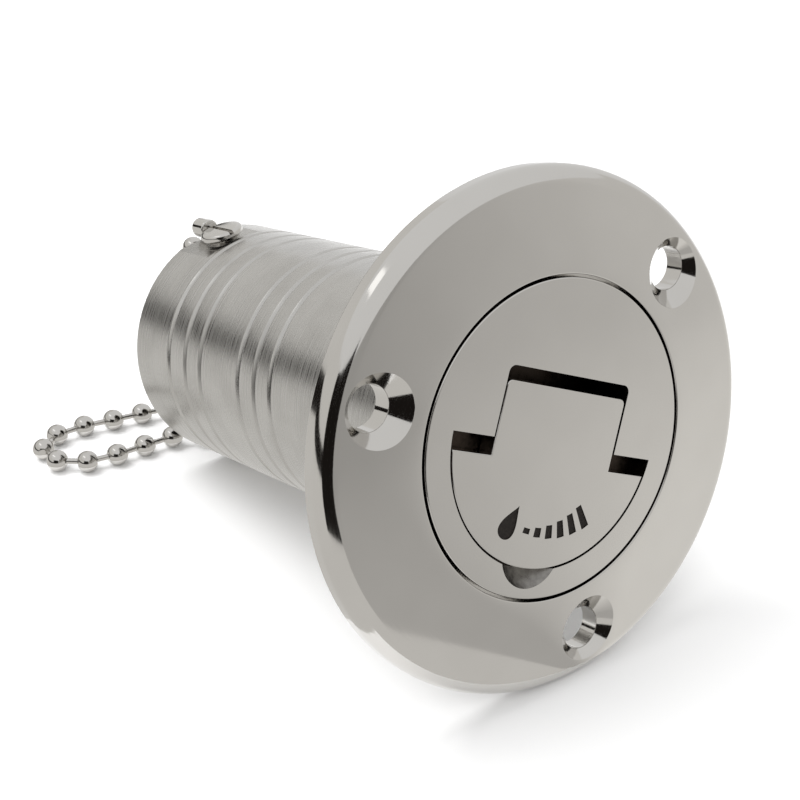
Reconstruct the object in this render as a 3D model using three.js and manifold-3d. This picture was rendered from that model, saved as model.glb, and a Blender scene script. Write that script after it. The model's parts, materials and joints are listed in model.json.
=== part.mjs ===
// Deck fill cap: a flanged filler neck with a flush screw cap, a flip-up lifting flap
// and a ball chain. Millimetres, +Z up. The part lies on its side, resting on the flange's
// rim and on the far end of the neck. The neck points to +Y and sinks a little towards its
// tail, and the face of the flange looks to -Y and a little up.
//
// Everything but the chain is modelled in the neck's own frame, which a tilted group places:
// +z there is the neck's axis, out of the face, with z = 0 in the plane of the cap's top.
import * as THREE from "three";
import { mergeVertices } from "three/addons/utils/BufferGeometryUtils.js";
import Module from "manifold-3d";

const wasm = await Module();
wasm.setup();

// ---- driving dimensions (mm and degrees) ----
const SIDES = 48; // facets of the large round shapes
const GAP = 0.3; // clearance between pieces that touch
const PAST = 1; // how far a cutting tool runs past the face that it opens

const FLANGE = { radius: 45, thickness: 6.9, dome: 1.5, fall: 1.3, round: 3.0, backChamfer: 0.3 };
const NECK = { radius: 24.5, bore: 20.5, length: 103.4, shoulder: 29, shoulderEnd: 12 };
const GROOVES = { at: [50.9, 56.4, 62.2, 76.7, 82.6, 89.2], width: 1.0, depth: 0.5 };
// A countersunk hole: its cone is sinkDepth deep, and sinkRadius wide in the plane z = 0.
const SCREW_HOLES = {
  count: 3, pitchRadius: 37, radius: 3.8, sinkRadius: 6.8, sinkDepth: 3, turn: 35.4,
};

const CAP = { radius: 27.1, recess: 27.6, head: 5.0, plug: 18.8, length: 19, turn: -24.4 };
const SEAL = { major: 22.3, minor: 0.9, neck: 21.0, seat: 23.6, seatDepth: 7.7 };
const THREAD = {
  pitch: 3, turns: 3, steps: 24, height: 1.3, root: 1.3, crest: 0.7, top: 9.2, foot: 0.4,
};

const FLAP = { radius: 21.9, half: 13.3, top: 8.6, shoulder: -3.9, thickness: 3.2 };
const POCKET = { radius: 22.2, half: 13.6, top: 11.0, shoulder: -0.9, depth: 3.5 };
const WELL = { low: -1.4, depth: 10.9 }; // room below the tongue as the flap stands up
const HINGE = { along: 0.6, depth: 1.7, pin: 0.7, hole: 1.0, half: 16.3 };
const NOTCH = { centre: -19.06, radius: 6.24, depth: 3.2 };

const SWIVEL = {
  plate: 4.6, plateT: 1.0, washer: 4.2, washerT: 0.8, head: 3.6, headT: 2.2, slot: 1.0,
  armWidth: 3.2, armFrom: 3.3, armTo: 7.5,
};
const SHANK = { radius: 1.7, hole: 2.05, tip: -13.7, pastNut: 1.6 };
const BARREL = { radius: 2.8, bore: 2.3, start: 5.6, end: 11.6 };

const ANCHOR = { turn: 100, fromTail: 8.2, flat: 23.6, flatLength: 12.2, flatWidth: 14 };
const LUG = { radius: 2.0, bore: 1.45, reach: 9.0, plate: 3.5, plateT: 0.9, armWidth: 3, armLength: 4 };
const ANCHOR_HEAD = { radius: 4.4, thickness: 1.5, slot: 0.9, slotDepth: 0.7 };
const NUT = { across: 7, thickness: 2.4, outer: 19.8 }; // its corners clear the round bore

const CHAIN = { ball: 4.6, sides: 8, step: 4.5 };

// ---- materials ----
const steel = (roughness) =>
  new THREE.MeshStandardMaterial({ color: 0xc4c2bd, roughness, metalness: 1 });
const POLISHED = 0.12;
const TURNED = 0.32;
const rubber = new THREE.MeshStandardMaterial({ color: 0x161616, roughness: 0.7 });

// ---- solids ----
const degrees = THREE.MathUtils.degToRad;
const turnedTo = (made, angle) => made.rotate([0, 0, angle]);

function solid(geometry) {
  const plain = geometry.index ? geometry.toNonIndexed() : geometry.clone();
  plain.deleteAttribute("normal");
  plain.deleteAttribute("uv");
  const merged = mergeVertices(plain, 1e-4);
  return new wasm.Manifold(
    new wasm.Mesh({
      numProp: 3,
      vertProperties: merged.attributes.position.array,
      triVerts: new Uint32Array(merged.index.array),
    }),
  );
}

function geometryOf(made) {
  const mesh = made.getMesh();
  const geometry = new THREE.BufferGeometry();
  geometry.setAttribute("position", new THREE.BufferAttribute(mesh.vertProperties, 3));
  geometry.setIndex(new THREE.BufferAttribute(mesh.triVerts, 1));
  return geometry;
}

const joined = (...parts) => parts.reduce((whole, part) => whole.add(part));
const cut = (body, ...tools) => tools.reduce((rest, tool) => rest.subtract(tool), body);

// A turned solid about +z from a closed outline of [radius, z] points, listed either way round.
function turned(outline, sides = SIDES) {
  const area = outline.reduce((sum, [r, z], i) => {
    const [nextR, nextZ] = outline[(i + 1) % outline.length];
    return sum + r * nextZ - nextR * z;
  }, 0);
  const points = area > 0 ? [...outline] : [...outline].reverse();
  const closed = [...points, points[0]].map(([r, z]) => new THREE.Vector2(r, z));
  const lathe = new THREE.LatheGeometry(closed, sides, Math.PI / sides);
  return solid(lathe.rotateX(Math.PI / 2));
}

// A round bar about +z between two heights.
const bar = (radius, low, high, sides = 24) =>
  turned([[0, low], [radius, low], [radius, high], [0, high]], sides);

const ring = (outer, inner, low, high, sides = 32) =>
  turned([[inner, low], [outer, low], [outer, high], [inner, high]], sides);

function block(wide, deep, high, x, y, z) {
  return solid(new THREE.BoxGeometry(wide, deep, high).translate(x, y, z));
}

// A plate of the given outline between two heights.
function plate(shape, low, high, curveSegments = 12) {
  const options = { depth: high - low, bevelEnabled: false, curveSegments };
  return solid(new THREE.ExtrudeGeometry(shape, options).translate(0, 0, low));
}

// A right-hand helical ridge on a cylinder of radius base, which stands out from it by rise
// (inwards if rise is negative). Its foot is buried in the wall that it joins.
function ridge(base, rise, phase) {
  const { pitch, turns, steps, root, crest, top, foot } = THREAD;
  const sunk = base - Math.sign(rise) * foot;
  const crown = base + rise;
  const section = [[sunk, -root / 2], [crown, -crest / 2], [crown, crest / 2], [sunk, root / 2]];
  const count = turns * steps;
  const positions = [];
  for (let i = 0; i <= count; i++) {
    const angle = (i / steps) * 2 * Math.PI + phase;
    const z = -top - pitch * turns + (pitch * i) / steps;
    for (const [r, dz] of section) {
      positions.push(r * Math.cos(angle), r * Math.sin(angle), z + dz);
    }
  }
  const n = section.length;
  const faces = [];
  for (let i = 0; i < count; i++) {
    for (let j = 0; j < n; j++) {
      const a = i * n + j;
      const b = i * n + ((j + 1) % n);
      faces.push(a, b + n, b, a, a + n, b + n);
    }
  }
  const last = count * n;
  for (let j = 1; j < n - 1; j++) {
    faces.push(0, j, j + 1, last, last + j + 1, last + j);
  }
  const geometry = new THREE.BufferGeometry();
  geometry.setAttribute("position", new THREE.Float32BufferAttribute(positions, 3));
  geometry.setIndex(rise > 0 ? faces.reverse() : faces);
  return solid(geometry);
}

// ---- flange and neck, one casting ----
function flangeAndNeck() {
  const { radius, thickness, dome, fall, round, backChamfer } = FLANGE;
  const edge = radius - round;
  const face = [[CAP.recess, 0]];
  for (const share of [0.5, 1]) {
    face.push([CAP.recess + (edge - CAP.recess) * share, -dome * share ** fall]);
  }
  for (const angle of [45, 0]) {
    const a = degrees(angle);
    face.push([edge + round * Math.cos(a), -dome - round + round * Math.sin(a)]);
  }
  const outside = [
    [radius, -thickness + backChamfer],
    [radius - backChamfer, -thickness],
    [NECK.shoulder, -thickness],
    [NECK.radius, -NECK.shoulderEnd],
  ];
  for (const at of GROOVES.at) {
    outside.push([NECK.radius, -at + GROOVES.width / 2]);
    outside.push([NECK.radius - GROOVES.depth, -at]);
    outside.push([NECK.radius, -at - GROOVES.width / 2]);
  }
  outside.push([NECK.radius, -NECK.length], [NECK.bore, -NECK.length]);
  const inside = [
    [NECK.bore, -SEAL.seatDepth],
    [SEAL.seat, -SEAL.seatDepth],
    [SEAL.seat, -CAP.head - GAP],
    [CAP.recess, -CAP.head - GAP],
  ];
  let body = turned([...face, ...outside, ...inside]);
  body = joined(body, ridge(NECK.bore, -THREAD.height, Math.PI));
  const { count, pitchRadius, radius: hole, sinkRadius, sinkDepth, turn } = SCREW_HOLES;
  const low = -thickness - PAST;
  const screwHole = turned([
    [0, low], [hole, low], [hole, -sinkDepth], [sinkRadius, 0], [sinkRadius, PAST], [0, PAST],
  ], 16).translate([pitchRadius, 0, 0]);
  for (let i = 0; i < count; i++) {
    body = cut(body, turnedTo(screwHole, turn + (360 / count) * i));
  }
  return cut(body, flatCut(), radialBar(SHANK.hole, NECK.bore - PAST, NECK.radius + PAST));
}

// ---- the anchor's place: +x out of the neck wall, then turned to its angle ----
const anchorZ = -NECK.length + ANCHOR.fromTail;

function flatCut() {
  const { flat, flatLength, flatWidth, turn } = ANCHOR;
  const deep = NECK.radius - flat + PAST;
  const long = flatLength + PAST;
  const tool = block(deep, flatWidth, long, flat + deep / 2, 0, long / 2 - PAST - NECK.length);
  return turnedTo(tool, turn);
}

function radialBar(radius, from, to, sides = 20) {
  const made = bar(radius, from, to, sides);
  return turnedTo(made.rotate([0, 90, 0]).translate([0, 0, anchorZ]), ANCHOR.turn);
}

// ---- screw cap ----
const turnToCap = (made) => turnedTo(made, CAP.turn);

// The T shape that the flap and its pocket share: a D with a tongue above its straight side.
function flapShape({ radius, half, top, shoulder }, corner) {
  const reach = Math.sqrt(radius * radius - shoulder * shoulder);
  const angle = Math.asin(shoulder / radius);
  const shape = new THREE.Shape();
  shape.moveTo(half, shoulder);
  shape.lineTo(half, top - corner);
  shape.quadraticCurveTo(half, top, half - corner, top);
  shape.lineTo(-half + corner, top);
  shape.quadraticCurveTo(-half, top, -half, top - corner);
  shape.lineTo(-half, shoulder);
  shape.lineTo(-reach, shoulder);
  shape.absarc(0, 0, radius, Math.PI - angle, 2 * Math.PI + angle, false);
  shape.lineTo(half, shoulder);
  return shape;
}

function hingeBar(radius, from, to) {
  const made = bar(radius, from, to, 12).rotate([0, 90, 0]);
  return made.translate([0, HINGE.along, -HINGE.depth]);
}

function screwCap() {
  const { radius, head, plug, length } = CAP;
  const bevel = 0.3;
  let body = turned([
    [0, 0], [radius - bevel, 0], [radius, -bevel], [radius, -head], [SEAL.neck, -head],
    [SEAL.neck, -SEAL.seatDepth + GAP], [plug, -SEAL.seatDepth + GAP], [plug, -length],
    [0, -length],
  ]);
  body = joined(body, ridge(plug, THREAD.height, 0));
  const pocket = plate(flapShape(POCKET, 1.3), -POCKET.depth, PAST, 24);
  const wellMiddle = (POCKET.top + WELL.low) / 2;
  const wellSpan = POCKET.top - WELL.low;
  const well = block(2 * POCKET.half, wellSpan, WELL.depth, 0, wellMiddle, -WELL.depth / 2);
  const ball = (NOTCH.radius ** 2 + NOTCH.depth ** 2) / (2 * NOTCH.depth);
  const scoop = solid(new THREE.SphereGeometry(ball, 24, 16))
    .translate([0, NOTCH.centre, ball - NOTCH.depth]);
  const pinHole = hingeBar(HINGE.hole, -HINGE.half - GAP, CAP.radius + PAST);
  const screwHole = bar(SHANK.hole, -CAP.length - PAST, SHANK.tip + GAP);
  body = cut(body, pocket, well, scoop, pinHole, screwHole);
  return turnToCap(body);
}

function liftFlap() {
  const body = plate(flapShape(FLAP, 1.0), -FLAP.thickness, 0, 24);
  const across = FLAP.half + PAST;
  return turnToCap(cut(body, hingeBar(HINGE.hole, -across, across)));
}

const hingePin = () => turnToCap(hingeBar(HINGE.pin, -HINGE.half, HINGE.half));

function sealRing() {
  const torus = new THREE.TorusGeometry(SEAL.major, SEAL.minor, 8, 40);
  return solid(torus.translate(0, 0, -CAP.head - GAP - SEAL.minor));
}

// ---- chain swivel under the cap ----
const plateTop = -CAP.length - GAP;
const washerTop = plateTop - SWIVEL.plateT - GAP;
const headTop = washerTop - SWIVEL.washerT - GAP;

function swivelScrew() {
  const { head, headT, slot } = SWIVEL;
  const low = headTop - headT;
  const shank = bar(SHANK.radius, headTop - headT / 2, SHANK.tip);
  const groove = block(2 * head + PAST, slot, 2 * ANCHOR_HEAD.slotDepth, 0, 0, low);
  return cut(joined(bar(head, low, headTop), shank), groove);
}

const swivelWasher = () =>
  ring(SWIVEL.washer, SHANK.hole, washerTop - SWIVEL.washerT, washerTop);

// A ring plate with an arm that ends in a rolled barrel, which holds the chain's last ball.
function capEyelet() {
  const low = plateTop - SWIVEL.plateT;
  const centre = plateTop - BARREL.radius;
  const { plate: washer, armWidth, armFrom, armTo } = SWIVEL;
  const armMiddle = -(armFrom + armTo) / 2;
  const arm = block(armWidth, armTo - armFrom, SWIVEL.plateT, 0, armMiddle, (plateTop + low) / 2);
  const alongArm = (made) => made.rotate([90, 0, 0]).translate([0, 0, centre]);
  const barrel = alongArm(bar(BARREL.radius, BARREL.start, BARREL.end));
  const bore = alongArm(bar(BARREL.bore, BARREL.start - PAST, BARREL.end + PAST));
  const hole = bar(SHANK.hole, low - PAST, plateTop + PAST);
  return cut(joined(cut(joined(bar(washer, low, plateTop), arm), hole), barrel), bore);
}

// ---- anchor on the neck: lug, screw and nut, stacked outwards along +x ----
const lugSeat = ANCHOR.flat + GAP;
const lugTop = lugSeat + LUG.plateT;
const anchorHeadLow = lugTop + GAP;

function neckLug() {
  const washer = bar(LUG.plate, lugSeat, lugTop).rotate([0, 90, 0]);
  const centre = lugSeat + LUG.radius;
  const barrel = bar(LUG.radius, -LUG.reach, -ANCHOR_HEAD.radius - GAP).translate([centre, 0, 0]);
  const bore = bar(LUG.bore, -LUG.reach - PAST, -ANCHOR_HEAD.radius - 1).translate([centre, 0, 0]);
  const armMiddle = lugSeat + LUG.plateT / 2;
  const arm = block(LUG.plateT, LUG.armWidth, LUG.armLength, armMiddle, 0, -LUG.plate);
  const hole = bar(SHANK.hole, lugSeat - PAST, lugTop + PAST).rotate([0, 90, 0]);
  const body = joined(cut(joined(washer, arm), hole), barrel);
  return turnedTo(cut(body, bore).translate([0, 0, anchorZ]), ANCHOR.turn);
}

function anchorScrew() {
  const { radius, thickness, slot, slotDepth } = ANCHOR_HEAD;
  const top = anchorHeadLow + thickness;
  const groove = block(2 * slotDepth, slot, 2 * radius + PAST, top, 0, anchorZ);
  const shankEnd = NECK.bore - NUT.thickness - SHANK.pastNut;
  const shank = radialBar(SHANK.radius, shankEnd, anchorHeadLow + thickness / 3);
  const head = radialBar(radius, anchorHeadLow, top, 24);
  return cut(joined(head, shank), turnedTo(groove, ANCHOR.turn));
}

function anchorNut() {
  const { across, thickness, outer } = NUT;
  const hex = bar(across / Math.sqrt(3), outer - thickness, outer, 6);
  const hole = bar(SHANK.hole, outer - thickness - PAST, outer + PAST);
  const made = cut(hex, hole).rotate([0, 90, 0]).translate([0, 0, anchorZ]);
  return turnedTo(made, ANCHOR.turn);
}

// ---- the ball chain's route, [x, y, z] in the part's frame ----
// The first stretch leaves the cap's eyelet and lies along the bottom of the neck, the second
// lies in a loop beside the neck's mouth, and the third rises to the lug on the neck.
const IN_NECK = [
  [0, -30.1, 28.6], [0, -30.4, 26.4], [0.3, -28.6, 24.2], [1, -23.5, 22.0], [2.2, -13.5, 19.6],
  [2.5, 0.5, 16.7], [1.5, 14.5, 13.8], [-0.5, 28.5, 10.9], [-2.2, 38.6, 8.9],
];
const ON_FLOOR = [
  [-2.35, 39.4, 8.75], [-4.9, 47.5, 7.3], [-8.5, 52.4, 4.9], [-12.3, 55.2, 3.0],
  [-16.5, 56.6, 2.4], [-22.8, 56.8, 2.35], [-29.3, 57.0, 2.35], [-35.6, 58.3, 2.35],
  [-40.2, 62.4, 2.35], [-40.8, 67.4, 2.35], [-36.8, 71.8, 2.35], [-30.6, 72.7, 2.35],
  [-23.5, 71.3, 2.35], [-17.2, 70.1, 2.35],
];
const TO_LUG = [
  [-16.4, 69.95, 2.35], [-10.4, 68.6, 2.35], [-6.0, 66.2, 2.9], [-4.2, 63.6, 6],
  [-4.2, 62.6, 11], [-4.5, 62.1, 18], [-4.8, 61.5, 26], [-5.1, 60.6, 34], [-5.3, 59.7, 41],
  [-5.3, 59.6, 43.6],
];

function chainStretch(route) {
  const curve = new THREE.CatmullRomCurve3(route.map((point) => new THREE.Vector3(...point)));
  const section = new THREE.Shape();
  section.absarc(0, 0, CHAIN.ball / 2, 0, 2 * Math.PI);
  const steps = Math.round(curve.getLength() / CHAIN.step);
  const options = { steps, extrudePath: curve, curveSegments: CHAIN.sides, bevelEnabled: false };
  return solid(new THREE.ExtrudeGeometry(section, options));
}

// ---- assembly ----
// The part rests on the flange's back edge and on the neck's far edge, each a flat facet.
const flatness = Math.cos(Math.PI / SIDES);
const rimContact = { drop: FLANGE.radius * flatness, back: FLANGE.thickness - FLANGE.backChamfer };
const tilt = Math.atan2(rimContact.drop - NECK.radius * flatness, NECK.length - rimContact.back);
const axisHeight = rimContact.drop * Math.cos(tilt) + rimContact.back * Math.sin(tilt);
const FACE_Y = -49.6; // places the origin at the middle of the part's footprint

const neckFrame = new THREE.Group();
neckFrame.rotation.x = Math.PI / 2 - tilt;
neckFrame.position.set(0, FACE_Y, axisHeight);

const part = new THREE.Group();
part.add(neckFrame);

function add(group, name, made, material) {
  const mesh = new THREE.Mesh(geometryOf(made), material);
  mesh.name = name;
  group.add(mesh);
}

add(neckFrame, "deck_flange_neck", flangeAndNeck(), steel(POLISHED));
add(neckFrame, "screw_cap", screwCap(), steel(POLISHED));
add(neckFrame, "cap_o_ring", sealRing(), rubber);
add(neckFrame, "lift_flap", liftFlap(), steel(POLISHED));
add(neckFrame, "flap_hinge_pin", hingePin(), steel(TURNED));
add(neckFrame, "cap_swivel_screw", swivelScrew(), steel(TURNED));
add(neckFrame, "cap_swivel_washer", swivelWasher(), steel(TURNED));
add(neckFrame, "cap_chain_eyelet", capEyelet(), steel(POLISHED));
add(neckFrame, "neck_chain_lug", neckLug(), steel(POLISHED));
add(neckFrame, "neck_anchor_screw", anchorScrew(), steel(POLISHED));
add(neckFrame, "neck_anchor_nut", anchorNut(), steel(TURNED));
add(part, "chain_in_neck", chainStretch(IN_NECK), steel(POLISHED));
add(part, "chain_floor_loop", chainStretch(ON_FLOOR), steel(POLISHED));
add(part, "chain_to_lug", chainStretch(TO_LUG), steel(POLISHED));

export default part;
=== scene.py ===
import json
import math

import bmesh
import bpy
from mathutils import Matrix, Vector


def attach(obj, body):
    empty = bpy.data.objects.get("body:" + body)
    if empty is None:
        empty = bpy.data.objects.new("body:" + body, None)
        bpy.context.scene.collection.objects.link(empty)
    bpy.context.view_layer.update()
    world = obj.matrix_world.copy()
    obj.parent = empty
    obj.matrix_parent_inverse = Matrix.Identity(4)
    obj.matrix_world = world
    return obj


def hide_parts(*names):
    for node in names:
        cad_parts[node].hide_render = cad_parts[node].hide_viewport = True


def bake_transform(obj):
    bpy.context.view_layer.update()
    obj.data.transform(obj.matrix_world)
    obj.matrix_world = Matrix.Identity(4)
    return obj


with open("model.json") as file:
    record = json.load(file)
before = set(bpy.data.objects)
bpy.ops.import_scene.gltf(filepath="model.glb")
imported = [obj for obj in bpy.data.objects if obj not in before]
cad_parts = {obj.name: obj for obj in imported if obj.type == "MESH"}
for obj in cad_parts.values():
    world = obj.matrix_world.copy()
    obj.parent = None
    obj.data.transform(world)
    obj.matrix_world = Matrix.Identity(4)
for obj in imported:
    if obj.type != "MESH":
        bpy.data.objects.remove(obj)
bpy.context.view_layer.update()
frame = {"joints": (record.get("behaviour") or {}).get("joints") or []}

# ---- the neck's own frame: millimetres, +z out of the face, z = 0 at the cap's top ----
JOINTS = {joint["name"]: joint for joint in frame["joints"]}
OUT = Vector(JOINTS["cap_turn"]["axis"]).normalized()
FACE = Vector(JOINTS["cap_turn"]["pos_m"])
UP = Vector((1, 0, 0)).cross(OUT) * -1
AXES = Matrix(((1, UP.x, OUT.x), (0, UP.y, OUT.y), (0, UP.z, OUT.z)))
NECK_FRAME = Matrix.Translation(FACE) @ AXES.to_4x4() @ Matrix.Scale(0.001, 4)

# ---- sizes of the CAD part that the finer shapes repeat, in mm and degrees ----
SIDES = 192
GAP = 0.3
FLANGE = {"radius": 45, "thickness": 6.9, "dome": 1.5, "fall": 1.3, "edge": 42}
NECK = {"radius": 24.5, "bore": 20.5, "length": 103.4, "shoulder": 29, "shoulder_end": 12}
GROOVES = (50.9, 56.4, 62.2, 76.7, 82.6, 89.2)
GROOVE = {"half": 0.55, "depth": 0.5, "floor": 0.12, "lip": 0.25, "lip_depth": 0.08}
HOLES = {"count": 3, "pitch": 37, "radius": 3.8, "cone": 6.8, "depth": 3.0, "turn": 35.4}
CAP = {"radius": 27.1, "recess": 27.6, "head": 5.0, "plug": 18.8, "length": 19, "turn": -24.4}
SEAL = {"major": 22.3, "minor": 0.9, "neck": 21.0, "seat": 23.6, "depth": 7.7}
THREAD = {"pitch": 3, "turns": 3, "height": 1.3, "root": 1.3, "crest": 0.7, "top": 9.2, "foot": 0.4}
FLAP = {"radius": 21.9, "half": 13.3, "top": 8.6, "shoulder": -3.9, "depth": 3.2}
POCKET = {"radius": 22.2, "half": 13.6, "top": 11.0, "shoulder": -0.9, "depth": 3.5}
WELL = {"low": -1.4, "depth": 10.9}
HINGE = {"along": 0.6, "depth": 1.7, "pin": 0.7, "hole": 1.0, "half": 16.3}
NOTCH = {"centre": -19.06, "radius": 6.24, "depth": 3.2}
SHANK = {"radius": 1.7, "hole": 2.05, "tip": -13.7}
EYELET = {"washer": 4.6, "thick": 1.0, "barrel": 2.8, "bore": 2.3, "start": 5.6, "end": 11.6}
SWIVEL = {"washer": 4.2, "washer_thick": 0.8, "head": 3.6, "head_thick": 2.2, "slot": 1.0}
ANCHOR = {"turn": 100, "z": -95.2, "flat": 23.6, "flat_length": 12.2, "flat_width": 14}
LUG = {"radius": 2.0, "bore": 1.45, "reach": 9.0, "washer": 3.5, "thick": 0.9}
HEAD = {"radius": 4.4, "thick": 1.5, "slot": 0.9, "slot_depth": 0.7}
NUT = {"across": 7, "thick": 2.4, "outer": 19.8}
BEAD = {"radius": 2.3, "pitch": 6.65, "pin": 0.6, "collar": 1.05}

# ---- details finer than the CAD part, in mm and degrees ----
ROUNDING = {"seat": 0.25, "back": 0.35, "tail_out": 0.4, "tail_in": 0.5, "cap": 0.3, "plug": 0.6}
PAST = 1  # how far a cutting tool reaches past the surface it cuts
CORNER = {"flap": 1.0, "pocket": 1.3}
EDGE = {"flap": 0.22, "pocket": 0.18, "nut": 0.25, "plate": 0.15}
ARM = {"length": 4.0, "width": 3.2, "middle": -5.5}
LUG_ARM = {"length": 3.4, "width": 3, "middle": -4.0, "bore_past": 0.7}
ENGRAVING = {"radius": 15.6, "depth": 0.18, "drop_at": -113, "drop_size": 2.6, "drop_tall": 3.1}
BARS = {"count": 6, "start": -98, "step": 9.2, "half": 2.6, "inward": 0.385, "outward": 0.28}

# ---- the chain's route, in metres: from the lug, round the floor loop, to the cap's eyelet ----
CHAIN_ROUTE = [
    (-0.0053, 0.0596, 0.0436), (-0.0053, 0.0597, 0.041), (-0.0051, 0.0606, 0.034),
    (-0.0048, 0.0615, 0.026), (-0.0045, 0.0621, 0.018), (-0.0042, 0.0626, 0.011),
    (-0.0042, 0.0636, 0.006), (-0.006, 0.0662, 0.0029), (-0.0104, 0.0686, 0.00235),
    (-0.0164, 0.06995, 0.00235), (-0.0235, 0.0713, 0.00235), (-0.0306, 0.0727, 0.00235),
    (-0.0368, 0.0718, 0.00235), (-0.0408, 0.0674, 0.00235), (-0.0402, 0.0624, 0.00235),
    (-0.0356, 0.0583, 0.00235), (-0.0293, 0.057, 0.00235), (-0.0228, 0.0568, 0.00235),
    (-0.0165, 0.0566, 0.0024), (-0.0123, 0.0552, 0.003), (-0.0085, 0.0524, 0.0049),
    (-0.0049, 0.0475, 0.0073), (-0.00235, 0.0394, 0.00875), (-0.0005, 0.0285, 0.0109),
    (0.0015, 0.0145, 0.0138), (0.0025, 0.0005, 0.0167), (0.0022, -0.0135, 0.0196),
    (0.001, -0.0235, 0.022), (0.0003, -0.0286, 0.0242), (0.0, -0.0304, 0.0264),
    (0.0, -0.0301, 0.0286),
]


# ---- camera and studio ----
CAMERA = {"lens": 72, "sensor": 36, "place": (-0.1569, -0.2168, 0.1771),
          "looks": (0.52474, 0.70397, -0.47862)}
FLOOR = {"half": 4.0, "white": 0.93, "roughness": 0.9}
SKY_STRENGTH = 0.85
WARM = (1.0, 0.985, 0.955)
BROWN = (1.0, 0.85, 0.75)
WHITE = (1.0, 1.0, 1.0)
CARD_REACH = 0.8
CARD_HEIGHT = 0.002
CARD_START = 0.0005
CARDS_AHEAD = 0.008
GLOW_BEARINGS = (12, 52)
GLOW_FADE = (1.0, 0.8, 0.12, 0.5)  # strength near and far, and those distances in metres
BRIGHT_CARD = [(-0.42, 0.0, 0.70), (-0.30, 0.0, 0.76), (-0.30, 0.5, 0.76), (-0.42, 0.5, 0.70)]


def make_camera():
    data = bpy.data.cameras.new("camera")
    data.lens = CAMERA["lens"]
    data.sensor_width = CAMERA["sensor"]
    camera = bpy.data.objects.new("camera", data)
    camera.location = CAMERA["place"]
    looks = Vector(CAMERA["looks"])
    camera.rotation_mode = "QUATERNION"
    camera.rotation_quaternion = looks.to_track_quat("-Z", "Y")
    bpy.context.scene.collection.objects.link(camera)
    bpy.context.scene.camera = camera


# ---- materials ----
def new_material(name):
    material = bpy.data.materials.new(name)
    material.use_nodes = True
    nodes = material.node_tree.nodes
    return material, nodes, material.node_tree.links, nodes["Principled BSDF"]


def neck_coordinates(nodes, links):
    """Sockets for a point in mm in the neck's frame, its z, and its distance from the axis."""
    place = nodes.new("ShaderNodeTexCoord")
    move = nodes.new("ShaderNodeMapping")
    move.vector_type = "TEXTURE"
    move.inputs["Location"].default_value = FACE
    move.inputs["Rotation"].default_value = AXES.to_euler()
    move.inputs["Scale"].default_value = (0.001, 0.001, 0.001)
    links.new(place.outputs["Object"], move.inputs["Vector"])
    split = nodes.new("ShaderNodeSeparateXYZ")
    links.new(move.outputs["Vector"], split.inputs["Vector"])
    flat = nodes.new("ShaderNodeVectorMath")
    flat.operation = "MULTIPLY"
    flat.inputs[1].default_value = (1, 1, 0)
    links.new(move.outputs["Vector"], flat.inputs[0])
    radius = nodes.new("ShaderNodeVectorMath")
    radius.operation = "LENGTH"
    links.new(flat.outputs["Vector"], radius.inputs[0])
    return move.outputs["Vector"], split.outputs["Z"], radius.outputs["Value"]


def noise(nodes, links, source, scale, detail=3.0, line=False):
    """Noise over a point, or over one number, which gives lines or rings."""
    made = nodes.new("ShaderNodeTexNoise")
    made.noise_dimensions = "1D" if line else "3D"
    made.inputs["Scale"].default_value = scale
    made.inputs["Detail"].default_value = detail
    links.new(source, made.inputs["W" if line else "Vector"])
    return made.outputs["Fac"]


def span(nodes, links, source, low, high, start=0.3, end=0.7):
    made = nodes.new("ShaderNodeMapRange")
    made.inputs["From Min"].default_value = start
    made.inputs["From Max"].default_value = end
    made.inputs["To Min"].default_value = low
    made.inputs["To Max"].default_value = high
    links.new(source, made.inputs["Value"])
    return made.outputs["Result"]


def tint(nodes, links, source, dark, light):
    ramp = nodes.new("ShaderNodeValToRGB")
    ramp.color_ramp.elements[0].position = 0.35
    ramp.color_ramp.elements[0].color = (*dark, 1)
    ramp.color_ramp.elements[1].position = 0.65
    ramp.color_ramp.elements[1].color = (*light, 1)
    links.new(source, ramp.inputs["Fac"])
    return ramp.outputs["Color"]


def bump(nodes, links, height, strength, distance, under=None):
    made = nodes.new("ShaderNodeBump")
    made.inputs["Strength"].default_value = strength
    made.inputs["Distance"].default_value = distance
    links.new(height, made.inputs["Height"])
    if under is not None:
        links.new(under, made.inputs["Normal"])
    return made.outputs["Normal"]


def polished_steel():
    """Mirror-polished stainless steel, faintly clouded, with very fine polishing rings."""
    material, nodes, links, shader = new_material("polished_steel")
    point, _, radius = neck_coordinates(nodes, links)
    cloud = noise(nodes, links, point, 0.09, 2.0)
    shader.inputs["Metallic"].default_value = 1.0
    links.new(tint(nodes, links, cloud, (0.600, 0.585, 0.560), (0.615, 0.600, 0.575)),
              shader.inputs["Base Color"])
    rings = noise(nodes, links, radius, 3.0, 4.0, line=True)
    links.new(span(nodes, links, rings, 0.075, 0.125), shader.inputs["Roughness"])
    grain = noise(nodes, links, point, 2.2, 5.0)
    ripple = bump(nodes, links, rings, 0.05, 0.00002)
    links.new(bump(nodes, links, grain, 0.06, 0.00002, ripple), shader.inputs["Normal"])
    return material


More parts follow.
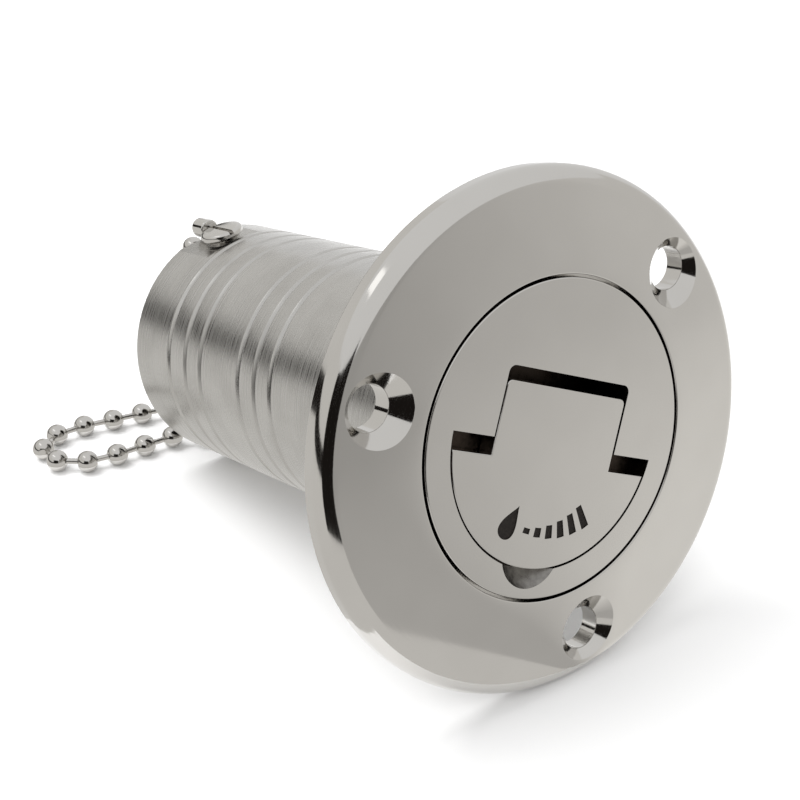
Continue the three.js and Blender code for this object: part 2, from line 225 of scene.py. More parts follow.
def turned_steel(name, lines, strength):
    """Steel as it comes off the lathe: a rougher finish with tool lines round its axis."""
    material, nodes, links, shader = new_material(name)
    point, along, radius = neck_coordinates(nodes, links)
    shader.inputs["Metallic"].default_value = 1.0
    patch = noise(nodes, links, point, 0.12, 3.0)
    links.new(tint(nodes, links, patch, (0.52, 0.51, 0.49), (0.58, 0.57, 0.55)),
              shader.inputs["Base Color"])
    total = nodes.new("ShaderNodeMath")
    total.operation = "ADD"
    links.new(along, total.inputs[0])
    links.new(radius, total.inputs[1])
    tool = noise(nodes, links, total.outputs[0], lines, 6.0, line=True)
    links.new(span(nodes, links, tool, 0.2, 0.36), shader.inputs["Roughness"])
    grain = noise(nodes, links, point, 3.5, 5.0)
    cut = bump(nodes, links, tool, strength, 0.00006)
    links.new(bump(nodes, links, grain, 0.12, 0.00003, cut), shader.inputs["Normal"])
    return material


def engraving_black():
    """Laser-darkened steel at the bottom of the engraving."""
    material, nodes, links, shader = new_material("engraving_black")
    point, _, _ = neck_coordinates(nodes, links)
    speckle = noise(nodes, links, point, 4.0, 5.0)
    links.new(tint(nodes, links, speckle, (0.010, 0.008, 0.007), (0.024, 0.020, 0.017)),
              shader.inputs["Base Color"])
    shader.inputs["Specular IOR Level"].default_value = 0.15
    links.new(span(nodes, links, speckle, 0.6, 0.8), shader.inputs["Roughness"])
    links.new(bump(nodes, links, speckle, 0.3, 0.00003), shader.inputs["Normal"])
    return material


def recess_shade_steel(name, dark, light):
    """The unpolished metal down in the cap's pocket and thumb notch, its colour darkened as painted
    shade for those hollows, with a random mottle.
    """
    material, nodes, links, shader = new_material(name)
    point, _, _ = neck_coordinates(nodes, links)
    mottle = noise(nodes, links, point, 0.8, 4.0)
    shader.inputs["Metallic"].default_value = 1.0
    # painted shade: the base colour runs between the darkened tones passed in, which stand in for
    # the shade in the hollow
    links.new(tint(nodes, links, mottle, dark, light), shader.inputs["Base Color"])
    links.new(span(nodes, links, mottle, 0.25, 0.42), shader.inputs["Roughness"])
    links.new(bump(nodes, links, mottle, 0.2, 0.00004), shader.inputs["Normal"])
    return material


def seal_rubber():
    material, nodes, links, shader = new_material("seal_rubber")
    point, _, _ = neck_coordinates(nodes, links)
    grain = noise(nodes, links, point, 3.0, 6.0)
    links.new(tint(nodes, links, grain, (0.014, 0.014, 0.015), (0.03, 0.03, 0.031)),
              shader.inputs["Base Color"])
    links.new(span(nodes, links, grain, 0.5, 0.7), shader.inputs["Roughness"])
    links.new(bump(nodes, links, grain, 0.25, 0.00004), shader.inputs["Normal"])
    return material


# ---- meshes, made in mm in the neck's frame ----
def arc(centre, radius, start, end, steps):
    """Points (r, z) of an arc between two angles in degrees."""
    found = []
    for i in range(steps + 1):
        a = math.radians(start + (end - start) * i / steps)
        found.append((centre[0] + radius * math.cos(a), centre[1] + radius * math.sin(a)))
    return found


def object_from(name, bm):
    bmesh.ops.recalc_face_normals(bm, faces=bm.faces)
    data = bpy.data.meshes.new(name)
    bm.to_mesh(data)
    bm.free()
    made = bpy.data.objects.new(name, data)
    bpy.context.scene.collection.objects.link(made)
    return made


def skin(bm, low, high):
    """Faces between two rings of vertices, where a ring on the axis is one vertex repeated."""
    sides = len(low)
    for i in range(sides):
        j = (i + 1) % sides
        corners = []
        for vert in (low[i], low[j], high[j], high[i]):
            if vert not in corners:
                corners.append(vert)
        if len(corners) > 2:
            bm.faces.new(corners)


def lathe(name, outline, sides=SIDES):
    """A closed outline of (radius, z) points turned about z."""
    bm = bmesh.new()
    rings = []
    for r, z in outline:
        if r < 1e-6:
            rings.append([bm.verts.new((0, 0, z))] * sides)
            continue
        turn = [2 * math.pi * i / sides for i in range(sides)]
        rings.append([bm.verts.new((r * math.cos(a), r * math.sin(a), z)) for a in turn])
    for low, high in zip(rings, rings[1:] + rings[:1]):
        skin(bm, low, high)
    return object_from(name, bm)


def bar(name, radius, low, high, sides=64, round_off=0.0):
    """A round bar about z, with its ends' edges rounded off."""
    outline = [(0, low), (radius - round_off, low)]
    if round_off:
        outline += arc((radius - round_off, low + round_off), round_off, -60, 0, 3)
        outline += arc((radius - round_off, high - round_off), round_off, 0, 60, 3)
    else:
        outline.append((radius, low))
        outline.append((radius, high))
    outline += [(radius - round_off, high), (0, high)]
    return lathe(name, [p for i, p in enumerate(outline) if p != outline[i - 1]], sides)


def prism(name, points, low, high):
    """A plate with the given outline of (x, y) points, between two heights."""
    bm = bmesh.new()
    bottom = [bm.verts.new((x, y, low)) for x, y in points]
    top = [bm.verts.new((x, y, high)) for x, y in points]
    bm.faces.new(bottom[::-1])
    bm.faces.new(top)
    for i in range(len(points)):
        j = (i + 1) % len(points)
        bm.faces.new((bottom[i], bottom[j], top[j], top[i]))
    return object_from(name, bm)


def block(name, wide, deep, high, centre):
    signs = ((-1, -1), (1, -1), (1, 1), (-1, 1))
    points = [(x * wide / 2 + centre[0], y * deep / 2 + centre[1]) for x, y in signs]
    return prism(name, points, centre[2] - high / 2, centre[2] + high / 2)


def sphere(name, radius, centre, segments, rings):
    bm = bmesh.new()
    bmesh.ops.create_uvsphere(bm, u_segments=segments, v_segments=rings, radius=radius)
    bmesh.ops.translate(bm, verts=bm.verts, vec=centre)
    return object_from(name, bm)


def moved(piece, matrix):
    piece.data.transform(matrix)
    return piece


def turned_by(piece, angle, axis="Z"):
    return moved(piece, Matrix.Rotation(math.radians(angle), 4, axis))


def shifted(piece, x, y, z):
    return moved(piece, Matrix.Translation((x, y, z)))


def apply_modifiers(piece):
    view = bpy.context.evaluated_depsgraph_get()
    data = bpy.data.meshes.new_from_object(piece.evaluated_get(view))
    old = piece.data
    piece.modifiers.clear()
    piece.data = data
    bpy.data.meshes.remove(old)


def boolean(piece, operation, *tools):
    for tool in tools:
        change = piece.modifiers.new("join", "BOOLEAN")
        change.operation = operation
        change.solver = "EXACT"
        change.material_mode = "TRANSFER"
        change.object = tool
        apply_modifiers(piece)
        bpy.data.objects.remove(tool)
    return piece


def cut(piece, *tools):
    return boolean(piece, "DIFFERENCE", *tools)


def join(piece, *tools):
    return boolean(piece, "UNION", *tools)


def bevel(piece, width, chosen, segments=3):
    """Rounds the edges that chosen(edge) picks."""
    bm = bmesh.new()
    bm.from_mesh(piece.data)
    edges = [e for e in bm.edges if len(e.link_faces) == 2 and chosen(e)]
    bmesh.ops.bevel(bm, geom=edges, offset=width, segments=segments, profile=0.5,
                    affect="EDGES", clamp_overlap=True)
    bm.to_mesh(piece.data)
    bm.free()
    return piece


def sharp(edge, degrees=30):
    return edge.calc_face_angle(0) > math.radians(degrees)


def finished(piece, material, body, slot, *nodes, crease=35):
    """Moves a shape to its place, shades it, hangs it on the body it rides on, and hides the CAD
    parts it stands for.
    """
    piece.data.transform(NECK_FRAME)
    for i, held in enumerate(piece.data.materials):
        if held is None:
            piece.data.materials[i] = material
    if not piece.data.materials:
        piece.data.materials.append(material)
    for face in piece.data.polygons:
        face.use_smooth = True
    piece.data.set_sharp_from_angle(angle=math.radians(crease))
    weighted = piece.modifiers.new("weighted", "WEIGHTED_NORMAL")
    weighted.keep_sharp = True
    weighted.weight = 100
    apply_modifiers(piece)
    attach(piece, body)
    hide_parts(*nodes)
    return piece


def thread(name, base, rise, phase):
    """A right-hand helical ridge on a cylinder, outwards, or inwards if rise is negative."""
    steps = 48
    bottom = -THREAD["top"] - THREAD["pitch"] * THREAD["turns"]
    sunk = base - math.copysign(THREAD["foot"], rise)
    crown = base + rise
    half_root, half_crest = THREAD["root"] / 2, THREAD["crest"] / 2
    section = [(sunk, -half_root), (crown, -half_crest), (crown, half_crest), (sunk, half_root)]
    bm = bmesh.new()
    rings = []
    for i in range(steps * THREAD["turns"] + 1):
        a = 2 * math.pi * i / steps + phase
        z = bottom + THREAD["pitch"] * i / steps
        across = [(r * math.cos(a), r * math.sin(a), z + dz) for r, dz in section]
        rings.append([bm.verts.new(point) for point in across])
    for low, high in zip(rings, rings[1:]):
        for j in range(4):
            k = (j + 1) % 4
            bm.faces.new((low[j], low[k], high[k], high[j]))
    bm.faces.new(rings[0][::-1])
    bm.faces.new(rings[-1])
    return object_from(name, bm)


# ---- flange and neck ----
def flange_outline():
    """The flange's face, rim and back, and the fillet that leads to the neck."""
    edge, radius, back = FLANGE["edge"], FLANGE["radius"], -FLANGE["thickness"]
    dome, fall = FLANGE["dome"], FLANGE["fall"]
    lip, chamfer = ROUNDING["seat"], ROUNDING["back"]
    start = CAP["recess"] + lip
    outline = arc((start, -lip), lip, 180, 95, 5)
    face_steps = 16
    for i in range(1, face_steps + 1):
        share = i / face_steps
        outline.append((start + (edge - start) * share, -dome * share ** fall))
    slope = math.degrees(math.atan2(fall * dome, edge - start))
    rounding = (radius - edge) / (1 - math.cos(math.radians(90 - slope)))
    centre = (radius - rounding, -dome - rounding * math.cos(math.radians(slope)))
    outline += arc(centre, rounding, 90 - slope, 0, 14)[1:]
    outline += arc((radius - chamfer, back + chamfer), chamfer, 0, -90, 4)
    fillet = NECK["shoulder"] - NECK["radius"]
    drop = NECK["shoulder_end"] - FLANGE["thickness"]
    outline.append((NECK["radius"] + fillet, back))
    fillet_steps = 12
    for i in range(1, fillet_steps + 1):
        a = math.radians(90 * i / fillet_steps)
        r = NECK["radius"] + fillet * (1 - math.sin(a))
        outline.append((r, back - drop * (1 - math.cos(a))))
    return outline


def neck_outline():
    """The neck's grooved outside, its tail, and its bore up to the seat of the cap."""
    radius, bore, tail = NECK["radius"], NECK["bore"], -NECK["length"]
    half, floor, lip = GROOVE["half"], GROOVE["floor"], GROOVE["lip"]
    depth, lip_depth = GROOVE["depth"], GROOVE["lip_depth"]
    outline = []
    for at in GROOVES:
        outline += [(radius, -at + half + lip), (radius - lip_depth, -at + half)]
        outline += [(radius - depth, -at + floor), (radius - depth, -at - floor)]
        outline += [(radius - lip_depth, -at - half), (radius, -at - half - lip)]
    outer, inner = ROUNDING["tail_out"], ROUNDING["tail_in"]
    outline += arc((radius - outer, tail + outer), outer, 0, -90, 4)
    outline += arc((bore + inner, tail + inner), inner, -90, -180, 4)
    shelf = -CAP["head"] - GAP
    outline += [(bore, -SEAL["depth"]), (SEAL["seat"], -SEAL["depth"])]
    outline += [(SEAL["seat"], shelf), (CAP["recess"], shelf)]
    return outline


def screw_hole_tool(steel):
    """The countersunk hole as a solid, its edges broken a little."""
    cone, depth, hole = HOLES["cone"], HOLES["depth"], HOLES["radius"]
    back, break_off, rim = -FLANGE["thickness"], 0.3, 0.25
    section = [(0, back - PAST), (hole + break_off, back - PAST), (hole + break_off, back)]
    section += [(hole, back + break_off), (hole, -depth - 0.15), (hole + 0.06, -depth)]
    section += [(cone - rim, -rim - 0.1), (cone + 0.02, 0.05), (cone + 1.2, 0.6), (0, 0.6)]
    tool = lathe("hole", section, 96)
    tool.data.materials.append(steel)
    return shifted(tool, HOLES["pitch"], 0, 0)


def flange_and_neck(face_steel, neck_steel):
    back, tail = -FLANGE["thickness"], -NECK["length"]
    body = lathe("flange_and_neck", flange_outline() + neck_outline())
    body.data.materials.append(face_steel)
    body.data.materials.append(neck_steel)
    for face in body.data.polygons:
        outside = math.hypot(face.center.x, face.center.y) > NECK["bore"] - PAST
        face.material_index = 1 if face.center.z < back - 2 and outside else 0
    body = join(body, thread("neck_thread", NECK["bore"], -THREAD["height"], math.pi))
    for i in range(HOLES["count"]):
        turn = HOLES["turn"] + 360 / HOLES["count"] * i
        body = cut(body, turned_by(screw_hole_tool(face_steel), turn))
    long = ANCHOR["flat_length"] + PAST
    place = (ANCHOR["flat"] + PAST, 0, tail - PAST + long / 2)
    flat = block("flat", 2 * PAST, ANCHOR["flat_width"], long, place)
    flat.data.materials.append(neck_steel)
    body = cut(body, turned_by(flat, ANCHOR["turn"]))
    hole = radial_bar("anchor_hole", SHANK["hole"], NECK["bore"] - PAST, NECK["radius"] + PAST)
    body = cut(body, hole)
    return finished(body, face_steel, "deck", "polished_steel", "deck_flange_neck", crease=28)


def radial_bar(name, radius, low, high, sides=48, round_off=0.0):
    """A bar that stands out from the neck's wall at the anchor."""
    made = turned_by(bar(name, radius, low, high, sides, round_off), 90, "Y")
    return turned_by(shifted(made, 0, 0, ANCHOR["z"]), ANCHOR["turn"])


# ---- screw cap and flap ----
def flap_outline(size, corner):
    """The T shape of the flap and its pocket: a D with a tongue above its straight side."""
    half, top, shoulder, radius = size["half"], size["top"], size["shoulder"], size["radius"]
    points = [(half, shoulder)]
    for i in range(7):
        a = math.radians(15 * i)
        points.append((half - corner + corner * math.cos(a), top - corner + corner * math.sin(a)))
    points += [(-x, y) for x, y in reversed(points)]
    start = math.asin(shoulder / radius)
    sweep = math.pi + 2 * start
    steps = 96
    for i in range(steps + 1):
        a = math.pi - start + sweep * i / steps
        points.append((radius * math.cos(a), radius * math.sin(a)))
    return points


def hinge_bar(name, radius, low, high, round_off=0.0):
    made = turned_by(bar(name, radius, low, high, 40, round_off), 90, "Y")
    return shifted(made, 0, HINGE["along"], -HINGE["depth"])


def top_edge(edge):
    return all(abs(vert.co.z) < 1e-4 for vert in edge.verts) and sharp(edge)


def pocket_edge(edge):
    inside = CAP["radius"] - PAST
    return top_edge(edge) and all(vert.co.xy.length < inside for vert in edge.verts)


def screw_cap(steel, recess, scoop_shade):
    radius, head, plug, length = CAP["radius"], CAP["head"], CAP["plug"], CAP["length"]
    seat = -SEAL["depth"] + GAP
    top, end = ROUNDING["cap"], ROUNDING["plug"]
    outline = [(0, 0)] + arc((radius - top, -top), top, 90, 0, 5) + [(radius, -head)]
    outline += [(SEAL["neck"], -head), (SEAL["neck"], seat), (plug, seat)]
    outline += arc((plug - end, -length + end), end, 0, -90, 4) + [(0, -length)]
    body = lathe("cap_shell", outline)
    body.data.materials.append(steel)
    body = join(body, thread("cap_thread", plug, THREAD["height"], 0))
    pocket = prism("pocket", flap_outline(POCKET, CORNER["pocket"]), -POCKET["depth"], PAST)
    # painted shade: the faces this pocket cuts take the darkened recess material
    pocket.data.materials.append(recess)
    body = cut(body, pocket)
    body = bevel(body, EDGE["pocket"], pocket_edge)
    deep = POCKET["top"] - WELL["low"]
    middle = (POCKET["top"] + WELL["low"]) / 2
    high = WELL["depth"] - POCKET["depth"] + 0.2
    well = block("well", 2 * POCKET["half"], deep, high, (0, middle, -WELL["depth"] + high / 2))
    # painted shade: the well's cut faces take the darkened recess material too
    well.data.materials.append(recess)
    round_ball = (NOTCH["radius"] ** 2 + NOTCH["depth"] ** 2) / (2 * NOTCH["depth"])
    scoop = sphere("scoop", round_ball, (0, NOTCH["centre"], round_ball - NOTCH["depth"]), 96, 64)
    # painted shade: the scoop's faces take the darker notch material
    scoop.data.materials.append(scoop_shade)
    pin_hole = hinge_bar("pin_hole", HINGE["hole"], -HINGE["half"] - GAP, radius + PAST)
    screw_hole = bar("screw_hole", SHANK["hole"], -length - PAST, SHANK["tip"] + GAP)
    body = cut(body, well, scoop, pin_hole, screw_hole)
    turned_by(body, CAP["turn"])
    return finished(body, steel, "cap", "polished_steel", "screw_cap")


def polar(radius, angle):
    a = math.radians(angle)
    return radius * math.cos(a), radius * math.sin(a)


def droplet(centre, size, tall):
    """A drop's outline, its point towards the cap's middle."""
    points = []
    steps = 40
    for i in range(steps):
        a = 2 * math.pi * i / steps
        pinch = math.sin(a / 2) ** 1.6
        points.append((size * math.sin(a) * pinch, -tall * math.cos(a)))
    turn = centre[1] + 90
    x, y = polar(*centre)
    cos, sin = math.cos(math.radians(turn)), math.sin(math.radians(turn))
    return [(x + px * cos + py * sin, y + px * sin - py * cos) for px, py in points]


def lift_flap(steel, black):
    """The flap, with a drop and a row of level bars engraved along its round side."""
    body = prism("flap_leaf", flap_outline(FLAP, CORNER["flap"]), -FLAP["depth"], 0)
    body = bevel(body, EDGE["flap"], top_edge)
    half = FLAP["half"] + PAST
    body = cut(body, hinge_bar("pin_way", HINGE["hole"], -half, half))
    body.data.materials.clear()
    body.data.materials.append(steel)
    middle, half = ENGRAVING["radius"], BARS["half"]
    drop_place = (middle, ENGRAVING["drop_at"])
    marks = [droplet(drop_place, ENGRAVING["drop_size"], ENGRAVING["drop_tall"])]
    for i in range(BARS["count"]):
        a = BARS["start"] + BARS["step"] * i
        inner = middle - BARS["inward"] * (i + 1)
        outer = middle + GAP + BARS["outward"] * (i + 1)
        marks.append([polar(inner, a - half), polar(outer, a - half), polar(outer, a),
                      polar(outer, a + half), polar(inner, a + half), polar(inner, a)])
    for i, points in enumerate(marks):
        tool = prism(f"mark_{i}", points, -ENGRAVING["depth"], PAST)
        tool.data.materials.append(black)
        body = cut(body, tool)
    turned_by(body, CAP["turn"])
    return finished(body, steel, "flap", "polished_steel", "lift_flap")


def hinge_pin(steel):
    body = hinge_bar("flap_hinge_pin_fine", HINGE["pin"], -HINGE["half"], HINGE["half"], 0.15)
    turned_by(body, CAP["turn"])
    return finished(body, steel, "cap", "turned_steel", "flap_hinge_pin")


def o_ring(rubber):
    outline = arc((SEAL["major"], -CAP["head"] - GAP - SEAL["minor"]), SEAL["minor"], 0, 352, 44)
    return finished(lathe("o_ring", outline), rubber, "cap", "seal_rubber", "cap_o_ring")


# ---- chain swivel under the cap ----
PLATE_TOP = -CAP["length"] - GAP
WASHER_TOP = PLATE_TOP - EYELET["thick"] - GAP
HEAD_TOP = WASHER_TOP - SWIVEL["washer_thick"] - GAP


def ring_plate(name, outer, inner, low, high):
    r = EDGE["plate"]
    outline = [(inner, low + r), (inner + r, low), (outer - r, low), (outer, low + r)]
    outline += [(outer, high - r), (outer - r, high), (inner + r, high), (inner, high - r)]
    return lathe(name, outline, 72)


def swivel(steel, turned):
    low = HEAD_TOP - SWIVEL["head_thick"]
    screw = bar("swivel_screw", SWIVEL["head"], low, HEAD_TOP, 72, 0.35)
    shank = bar("shank", SHANK["radius"], HEAD_TOP - 0.8, SHANK["tip"], 48, 0.2)
    slot = block("slot", 9, SWIVEL["slot"], 1.4, (0, 0, low))
    screw = cut(join(screw, shank), slot)
    finished(screw, turned, "cap", "turned_steel", "cap_swivel_screw")
    washer = ring_plate("swivel_washer", SWIVEL["washer"], SHANK["hole"],
                        WASHER_TOP - SWIVEL["washer_thick"], WASHER_TOP)
    finished(washer, turned, "cap", "turned_steel", "cap_swivel_washer")
    low = PLATE_TOP - EYELET["thick"]
    body = ring_plate("chain_eyelet", EYELET["washer"], SHANK["hole"], low, PLATE_TOP)
    arm_place = (0, ARM["middle"], (low + PLATE_TOP) / 2)
    arm = block("arm", ARM["width"], ARM["length"], EYELET["thick"], arm_place)
    start, end = EYELET["start"], EYELET["end"]
    barrel = turned_by(bar("barrel", EYELET["barrel"], start, end, 64, 0.3), 90, "X")
    bore = turned_by(bar("bore", EYELET["bore"], start - PAST, end + PAST), 90, "X")
    centre = PLATE_TOP - EYELET["barrel"]
    body = cut(join(body, arm, shifted(barrel, 0, 0, centre)), shifted(bore, 0, 0, centre))
    finished(body, steel, "swivel", "polished_steel", "cap_chain_eyelet")


# ---- anchor of the chain's other end on the neck ----
def to_anchor(piece):
    return turned_by(shifted(piece, 0, 0, ANCHOR["z"]), ANCHOR["turn"])


def anchor(steel, turned):
    seat = ANCHOR["flat"] + GAP
    top = seat + LUG["thick"]
    centre = seat + LUG["radius"]
    start = -HEAD["radius"] - GAP
    washer = ring_plate("chain_lug", LUG["washer"], SHANK["hole"], seat, top)
    washer = turned_by(washer, 90, "Y")
    barrel = shifted(bar("barrel", LUG["radius"], -LUG["reach"], start, 64, 0.35), centre, 0, 0)
    bore = bar("bore", LUG["bore"], -LUG["reach"] - PAST, start - LUG_ARM["bore_past"], 48)
    bore = shifted(bore, centre, 0, 0)
    arm_place = (seat + LUG["thick"] / 2, 0, LUG_ARM["middle"])
    arm = block("arm", LUG["thick"], LUG_ARM["width"], LUG_ARM["length"], arm_place)
    lug = cut(join(washer, arm, barrel), bore)
    finished(to_anchor(lug), steel, "deck", "polished_steel", "neck_chain_lug")

    low = top + GAP
    high = low + HEAD["thick"]
    outline = [(0, low), (HEAD["radius"] - 0.3, low), (HEAD["radius"], low + 0.3)]
    outline += arc((HEAD["radius"] - 0.75, high - 0.75), 0.75, 0, 90, 6)[:-1]
    outline += [(HEAD["radius"] - 0.9, high - 0.002), (0, high)]
    screw = turned_by(lathe("anchor_screw", outline, 96), 90, "Y")
    end = NECK["bore"] - NUT["thick"] - 1.6
    shank = turned_by(bar("shank", SHANK["radius"], end, low + 0.5, 48, 0.2), 90, "Y")
    across = 2 * HEAD["radius"] + PAST
    groove = block("groove", 2 * HEAD["slot_depth"], HEAD["slot"], across, (high, 0, 0))
    screw = cut(join(screw, shank), groove)
    finished(to_anchor(screw), steel, "deck", "polished_steel", "neck_anchor_screw")

    hex_low = NUT["outer"] - NUT["thick"]
    corner = NUT["across"] / math.sqrt(3)
    nut = bar("anchor_nut", corner, hex_low, NUT["outer"], 6)
    nut = bevel(nut, EDGE["nut"], sharp, 2)
    hole = bar("hole", SHANK["hole"], hex_low - PAST, NUT["outer"] + PAST, 48)
    nut = turned_by(cut(nut, hole), 90, "Y")
    finished(to_anchor(nut), turned, "deck", "turned_steel", "neck_anchor_nut")


# ---- ball chain ----
def smooth_route(points, per_span=12):
    """A Catmull-Rom line through the route's points."""
    ends = [points[0] * 2 - points[1], *points, points[-1] * 2 - points[-2]]
    line = []
    for a, b, c, d in zip(ends, ends[1:], ends[2:], ends[3:]):
        for i in range(per_span):
            t = i / per_span
            line.append(0.5 * (2 * b + (c - a) * t + (2 * a - 5 * b + 4 * c - d) * t * t
                               + (3 * b - 3 * c + d - a) * t ** 3))
    line.append(points[-1])
    return line


def along(line, distances):
    """Points at the given lengths along a line."""
    found, walked, k = [], 0.0, 0
    for want in distances:
        while k < len(line) - 2 and walked + (line[k + 1] - line[k]).length < want:
            walked += (line[k + 1] - line[k]).length
            k += 1
        step = line[k + 1] - line[k]
        found.append(line[k] + step * ((want - walked) / step.length))
    return found


def ball_chain(steel):
    line = smooth_route([Vector(p) for p in CHAIN_ROUTE])
    length = sum((b - a).length for a, b in zip(line, line[1:]))
    count = round(length / (BEAD["pitch"] / 1000))
    places = along(line, [length * i / count for i in range(count + 1)])
    radius, pin, collar = (BEAD[k] / 1000 for k in ("radius", "pin", "collar"))
    bm = bmesh.new()

    def bead(outline, centre, direction, sides):
        turn = direction.to_track_quat("Z", "Y").to_matrix()
        rings = []
        for r, z in outline:
            if r < 1e-9:
                rings.append([bm.verts.new(centre + turn @ Vector((0, 0, z)))] * sides)
                continue
            angles = [2 * math.pi * i / sides for i in range(sides)]
            round_ring = [Vector((r * math.cos(a), r * math.sin(a), z)) for a in angles]
            rings.append([bm.verts.new(centre + turn @ point) for point in round_ring])
        for low, high in zip(rings, rings[1:]):
            skin(bm, low, high)

    mouth = math.degrees(math.asin(collar / radius))
    for i, centre in enumerate(places):
        before = places[max(i - 1, 0)]
        after = places[min(i + 1, count)]
        ball = [(0, -radius * 0.86)]
        ball += [(r, z) for r, z in arc((0, 0), radius, -90 + mouth, 90 - mouth, 22)]
        ball.append((0, radius * 0.86))
        bead(ball, centre, (after - before).normalized(), 36)
    for a, b in zip(places, places[1:]):
        half = (b - a).length / 2 - radius * 0.9
        link = [(0, -half), (pin, -half), (pin, half), (0, half)]
        bead(link, (a + b) / 2, (b - a).normalized(), 16)
    chain = object_from("ball_chain", bm)
    chain.data.materials.append(steel)
    for face in chain.data.polygons:
        face.use_smooth = True
    chain.data.set_sharp_from_angle(angle=math.radians(40))
    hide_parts("chain_in_neck", "chain_floor_loop", "chain_to_lug")
    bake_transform(chain)


# ---- studio ----
def glow(name, colour, left, right=None):
    """A glowing material. Given right too, it runs from left to right and fades with distance."""
    material = bpy.data.materials.new(name)
    material.use_nodes = True
    nodes, links = material.node_tree.nodes, material.node_tree.links
    nodes.clear()
    light = nodes.new("ShaderNodeEmission")
    light.inputs["Color"].default_value = (*colour, 1)
    light.inputs["Strength"].default_value = left
    result = nodes.new("ShaderNodeOutputMaterial")
    links.new(light.outputs["Emission"], result.inputs["Surface"])
    if right is not None:
        place = nodes.new("ShaderNodeTexCoord")
        split = nodes.new("ShaderNodeSeparateXYZ")
        links.new(place.outputs["Object"], split.inputs["Vector"])
        bearing = nodes.new("ShaderNodeMath")
        bearing.operation = "ARCTAN2"
        ahead = nodes.new("ShaderNodeMath")
        ahead.operation = "SUBTRACT"
        ahead.inputs[0].default_value = FACE.y
        links.new(split.outputs["Y"], ahead.inputs[1])
        links.new(split.outputs["X"], bearing.inputs[0])
        links.new(ahead.outputs[0], bearing.inputs[1])
        low, high = (math.radians(bearing_at) for bearing_at in GLOW_BEARINGS)
        away = nodes.new("ShaderNodeVectorMath")
        away.operation = "LENGTH"
        links.new(place.outputs["Object"], away.inputs[0])
        fade = nodes.new("ShaderNodeMath")
        fade.operation = "MULTIPLY"
        links.new(span(nodes, links, bearing.outputs[0], left, right, low, high), fade.inputs[0])
        links.new(span(nodes, links, away.outputs["Value"], *GLOW_FADE), fade.inputs[1])
        links.new(fade.outputs[0], light.inputs["Strength"])
    return material


def card(name, corners, material):
    """A glowing sheet that shows only in reflections, like a card held beside polished metal."""
    bm = bmesh.new()
    bm.faces.new([bm.verts.new(corner) for corner in corners])
    made = object_from(name, bm)
    made.data.materials.append(material)
    made.visible_camera = False
    made.visible_shadow = False
    made.visible_diffuse = False


def sector(name, start, end, near, far, material, low=0.0, high=0.0):
    """Cards between two bearings from -Y: one on the floor, and a wall at its far edge."""
    steps = 8
    z = CARD_HEIGHT
    ahead = FACE.y - CARDS_AHEAD
    for i in range(steps):
        bearings = [math.radians(start + (end - start) * (i + k) / steps) for k in (0, 1)]
        (sa, ca), (sb, cb) = [(math.sin(b), math.cos(b)) for b in bearings]
        outer = [(far * sa, ahead - far * ca), (far * sb, ahead - far * cb)]
        if near < far:
            inner = [(near * sa, ahead - near * ca, z), (near * sb, ahead - near * cb, z)]
            edge = [(x, y, z) for x, y in outer]
            card(f"{name}_floor_{i}", [inner[0], edge[0], edge[1], inner[1]], material)
        if high > low:
            foot = [(x, y, low) for x, y in outer]
            top = [(x, y, high) for x, y in outer]
            card(f"{name}_wall_{i}", [foot[0], foot[1], top[1], top[0]], material)


def softbox(name, place, size, power, looks_at=(0, 0, 0.03)):
    """A soft light that polished metal doesn't mirror."""
    data = bpy.data.lights.new(name, "AREA")
    data.shape = "RECTANGLE"
    data.size, data.size_y = size
    data.energy = power
    light = bpy.data.objects.new(name, data)
    light.location = place
    light.rotation_mode = "QUATERNION"
    light.rotation_quaternion = (Vector(looks_at) - Vector(place)).to_track_quat("-Z", "Y")
    light.visible_glossy = False
    bpy.context.scene.collection.objects.link(light)


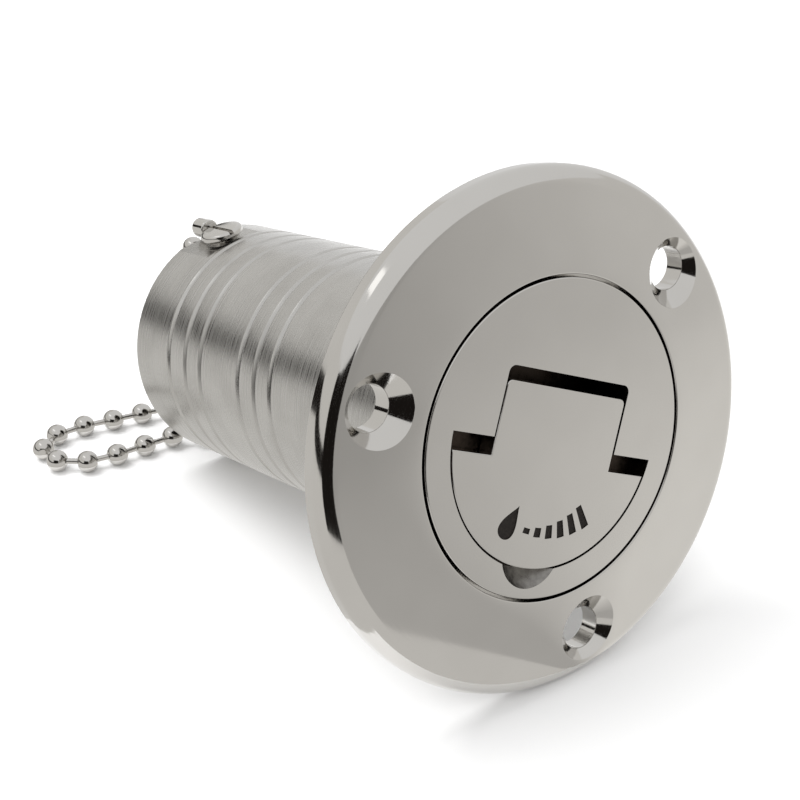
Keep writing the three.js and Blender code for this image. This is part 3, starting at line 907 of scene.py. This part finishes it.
def studio():
    bm = bmesh.new()
    half = FLOOR["half"]
    corners = ((-half, -half, 0), (half, -half, 0), (half, half, 0), (-half, half, 0))
    bm.faces.new([bm.verts.new(corner) for corner in corners])
    floor = object_from("floor", bm)
    material, _, _, shader = new_material("floor_white")
    shader.inputs["Base Color"].default_value = (*[FLOOR["white"]] * 3, 1)
    shader.inputs["Roughness"].default_value = FLOOR["roughness"]
    shader.inputs["Specular IOR Level"].default_value = 0.0
    floor.data.materials.append(material)

    world = bpy.data.worlds.new("studio")
    world.use_nodes = True
    background = world.node_tree.nodes["Background"]
    background.inputs["Color"].default_value = (*WHITE, 1)
    background.inputs["Strength"].default_value = SKY_STRENGTH
    bpy.context.scene.world = world
    bpy.context.scene.view_settings.view_transform = "Standard"

    softbox("key", (-0.25, 0.25, 0.75), (0.5, 0.5), 4.0)
    softbox("fill", (-0.5, -0.45, 0.6), (0.4, 0.4), 1.5)

    grey = glow("grey_glow", WARM, 0.56, 0.92)
    side = glow("side_glow", WARM, 0.76)
    dark = glow("dark_glow", BROWN, 0.012)
    bright = glow("bright_glow", WHITE, 1.6)
    sector("grey_card", -22, 100, CARD_START, CARD_REACH, grey, 0.0, 0.45)
    sector("near_card", -75, -22, CARD_START, 0.15, side)
    sector("dark_card", -75, -22, 0.15, CARD_REACH, dark, 0.0, 0.55)
    sector("side_card", -200, -75, 0.05, CARD_REACH, side, 0.14, 0.6)
    sector("side_band", -200, -75, CARD_REACH, CARD_REACH, dark, 0.0, 0.14)
    card("bright_card", BRIGHT_CARD, bright)


# ---- the scene ----
make_camera()
STEEL = polished_steel()
NECK_STEEL = turned_steel("neck_steel", 2.2, 0.25)
TURNED = turned_steel("turned_steel", 5.0, 0.3)
ball_chain(STEEL)
flange_and_neck(STEEL, NECK_STEEL)
# Painted shade: near-black brown colours for the pocket and well, standing in for the shade down in
# them.
POCKET_SHADE_STEEL = recess_shade_steel("recess_shade_steel", (0.030, 0.023, 0.018), (0.060, 0.047, 0.038))
# Painted shade: a darker grey for the thumb notch's scoop, standing in for the shade in that
# hollow.
NOTCH_SHADE_STEEL = recess_shade_steel("notch_shade_steel", (0.22, 0.21, 0.20), (0.34, 0.33, 0.31))
screw_cap(STEEL, POCKET_SHADE_STEEL, NOTCH_SHADE_STEEL)
lift_flap(STEEL, engraving_black())
hinge_pin(TURNED)
o_ring(seal_rubber())
swivel(STEEL, TURNED)
anchor(STEEL, TURNED)
studio()
